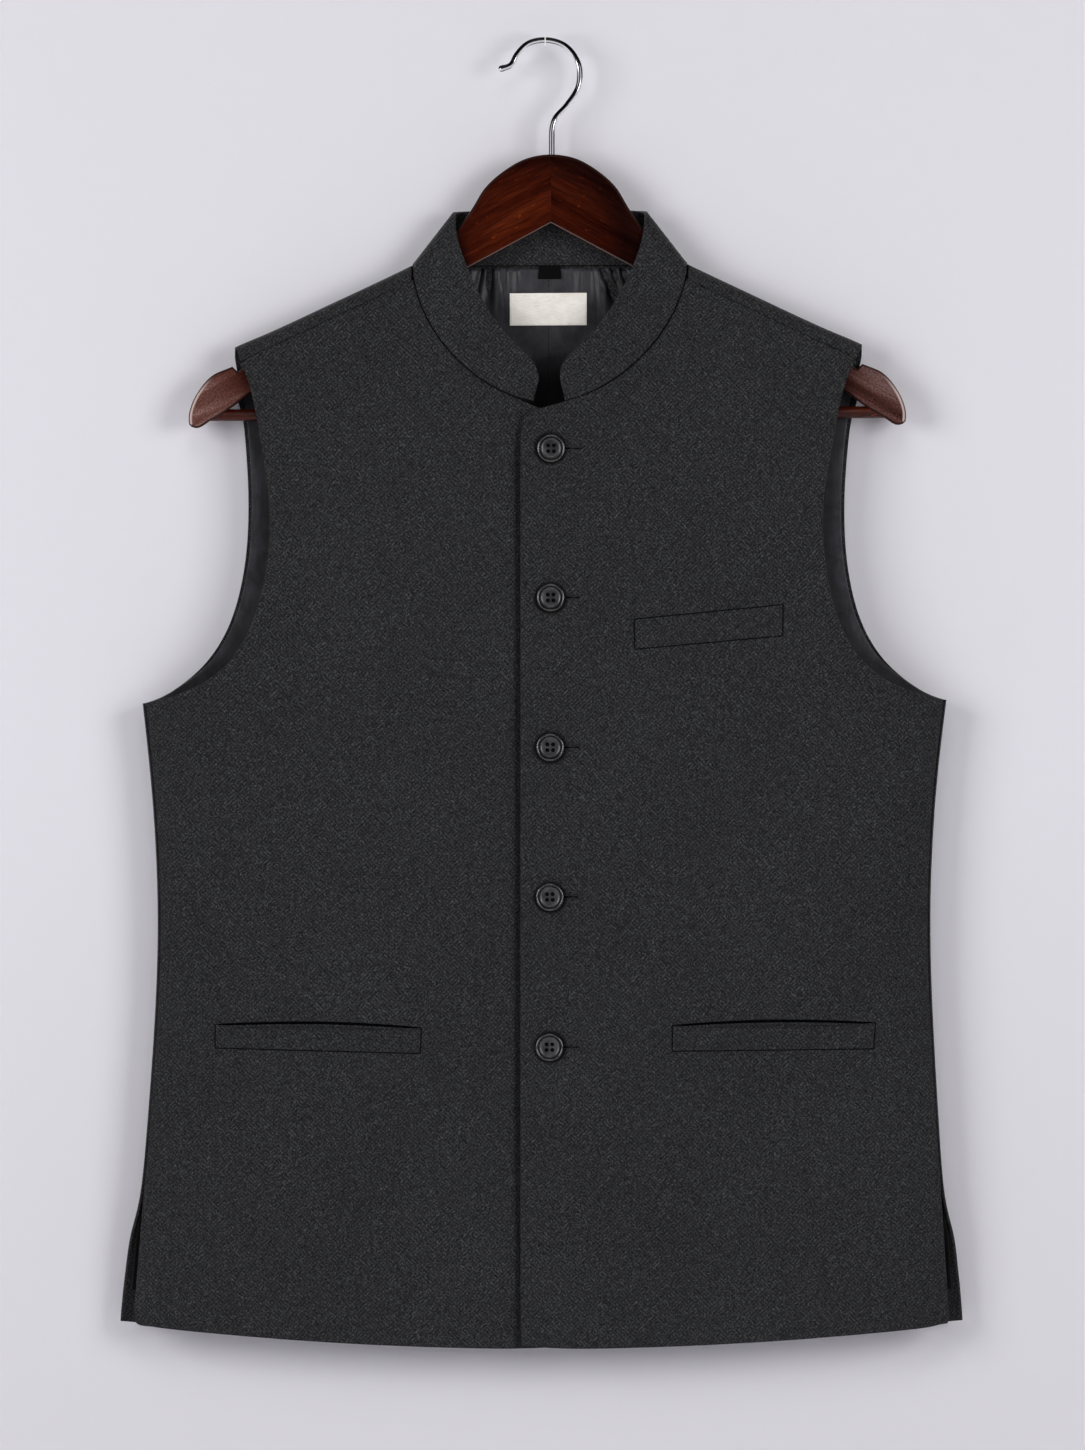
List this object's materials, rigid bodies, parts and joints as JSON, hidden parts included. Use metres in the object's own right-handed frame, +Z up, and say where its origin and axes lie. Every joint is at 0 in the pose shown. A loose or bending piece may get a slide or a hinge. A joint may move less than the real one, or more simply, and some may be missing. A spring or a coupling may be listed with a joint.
{
  "type": "nehru waistcoat on wooden hanger",
  "caption": "Sleeveless stand-collar waistcoat, buttoned, with welt pockets, on a wooden hanger with a wire hook.",
  "frame": {"origin": "inner crown of the hanger's hook, where a rail touches it", "axes": "+X to the viewer's right (the wearer's left), +Y away from the viewer, towards the garment's back, +Z up"},
  "size_m": [0.5196, 0.0436, 0.8115],
  "materials": {
    "charcoal_wool": "matt, fine brushed suiting",
    "lining_satin": "soft satin",
    "woven_label": "fine woven satin label",
    "black_tape": "woven tape",
    "polished_resin": "polished",
    "mahogany": "gloss varnish",
    "chrome_wire": "polished"
  },
  "bodies": {
    "root": {"back": "charcoal_wool", "back_lining": "lining_satin", "button_1": "polished_resin", "button_2": "polished_resin", "button_3": "polished_resin", "button_4": "polished_resin", "button_5": "polished_resin", "chest_pocket_welt": "charcoal_wool", "collar": "charcoal_wool", "front_left": "charcoal_wool", "front_right": "charcoal_wool", "hanger_arm_left": "mahogany", "hanger_arm_right": "mahogany", "hanger_bar": "mahogany", "hanger_hook": "chrome_wire", "left_pocket_welt": "charcoal_wool", "neck_label": "woven_label", "right_pocket_welt": "charcoal_wool", "size_tab": "black_tape"}
  },
  "joints": []
}
